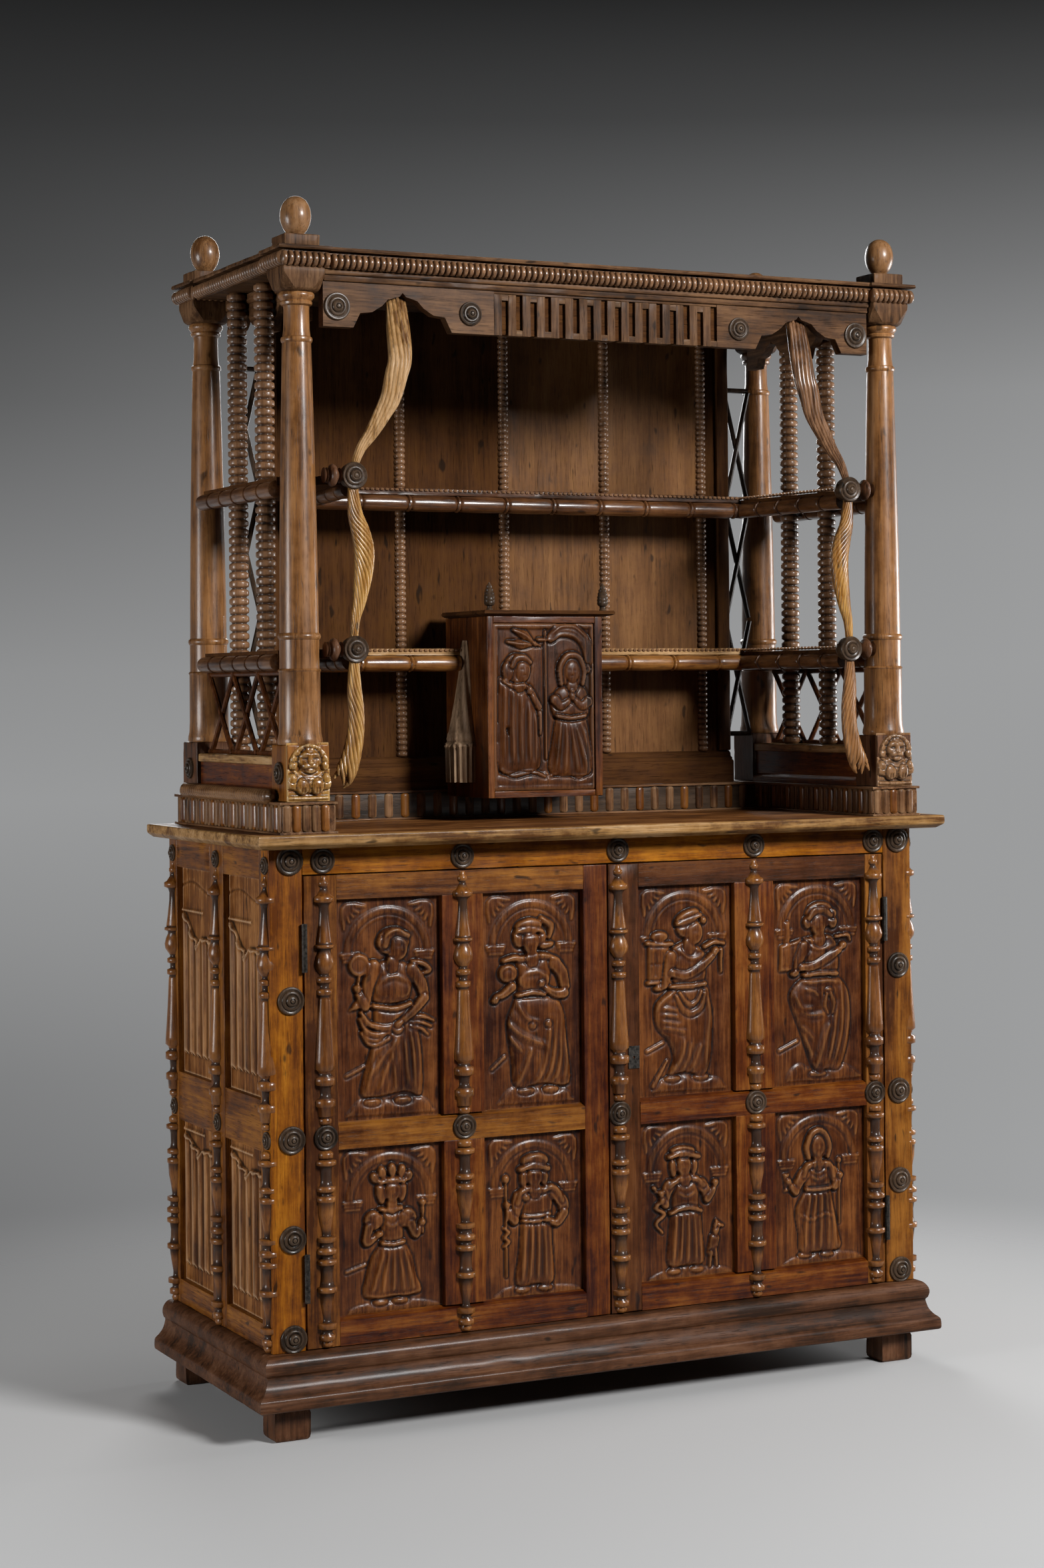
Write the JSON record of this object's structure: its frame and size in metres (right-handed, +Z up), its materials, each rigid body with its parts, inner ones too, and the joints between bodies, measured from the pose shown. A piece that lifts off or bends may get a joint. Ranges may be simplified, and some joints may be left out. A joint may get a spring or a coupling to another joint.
{
  "type": "buffet hutch",
  "caption": "Carved oak buffet cabinet with hinged panelled doors, carrying an open hutch with shelves on columns and a small hinged wall box.",
  "frame": {"origin": "centre of the bounding box at floor level, under the feet", "axes": "+X to the right of someone facing the doors, +Y to the back, +Z up"},
  "size_m": [1.5, 0.634, 2.3068],
  "materials": {
    "golden_oak": "waxed golden brown",
    "brown_oak": "waxed mid brown",
    "red_oak": "waxed red brown",
    "dark_oak": "dark stained",
    "iron": "dark worn"
  },
  "bodies": {
    "carcass": {"base": "brown_oak", "box_case": "red_oak", "cabinet_back": "brown_oak", "cabinet_shelf": "brown_oak", "column_front_left": "brown_oak", "column_front_right": "brown_oak", "column_rear_left": "brown_oak", "column_rear_right": "brown_oak", "corner_stile_left": "golden_oak", "corner_stile_right": "golden_oak", "cornice": "brown_oak", "counter": "golden_oak", "finial_front_left": "golden_oak", "finial_front_right": "golden_oak", "finial_rear_left": "golden_oak", "finial_rear_right": "golden_oak", "foot_front_left": "dark_oak", "foot_front_right": "dark_oak", "foot_rear_left": "dark_oak", "foot_rear_right": "dark_oak", "frieze_front": "brown_oak", "frieze_left": "brown_oak", "frieze_rail": "golden_oak", "frieze_right": "brown_oak", "frond_left": "golden_oak", "frond_right": "golden_oak", "hinge_pin_left_lower": "iron", "hinge_pin_left_upper": "iron", "hinge_pin_right_lower": "iron", "hinge_pin_right_upper": "iron", "hutch_back": "brown_oak", "hutch_plinth": "brown_oak", "linenfold_left": "brown_oak", "linenfold_right": "brown_oak", "post_front_left": "brown_oak", "post_front_right": "brown_oak", "post_rear_left": "brown_oak", "post_rear_right": "brown_oak", "shelf_lower": "brown_oak", "shelf_upper": "brown_oak", "side_frame_left": "brown_oak", "side_frame_right": "brown_oak", "side_lattice_left": "brown_oak", "side_lattice_right": "brown_oak"},
    "left_door": {"hinge_knuckle_left_lower": "iron", "hinge_knuckle_left_upper": "iron", "left_door_frame": "brown_oak", "left_door_panel_lower_inner": "red_oak", "left_door_panel_lower_outer": "red_oak", "left_door_panel_upper_inner": "red_oak", "left_door_panel_upper_outer": "red_oak"},
    "right_door": {"hinge_knuckle_right_lower": "iron", "hinge_knuckle_right_upper": "iron", "right_door_frame": "brown_oak", "right_door_panel_lower_inner": "red_oak", "right_door_panel_lower_outer": "red_oak", "right_door_panel_upper_inner": "red_oak", "right_door_panel_upper_outer": "red_oak", "door_lock": "iron"},
    "box_door": {"box_door": "red_oak"}
  },
  "joints": [
    {"name": "left_door_hinge", "type": "hinge", "parent": "carcass", "child": "left_door", "pos_m": [-0.6385, -0.2585, 0.6], "axis": [0, 0, -1], "range_deg": [0, 105]},
    {"name": "right_door_hinge", "type": "hinge", "parent": "carcass", "child": "right_door", "pos_m": [0.6385, -0.2585, 0.6], "axis": [0, 0, 1], "range_deg": [0, 105]},
    {"name": "box_door_hinge", "type": "hinge", "parent": "carcass", "child": "box_door", "pos_m": [0.0825, -0.0275, 1.35], "axis": [0, 0, 1], "range_deg": [0, 100]}
  ]
}
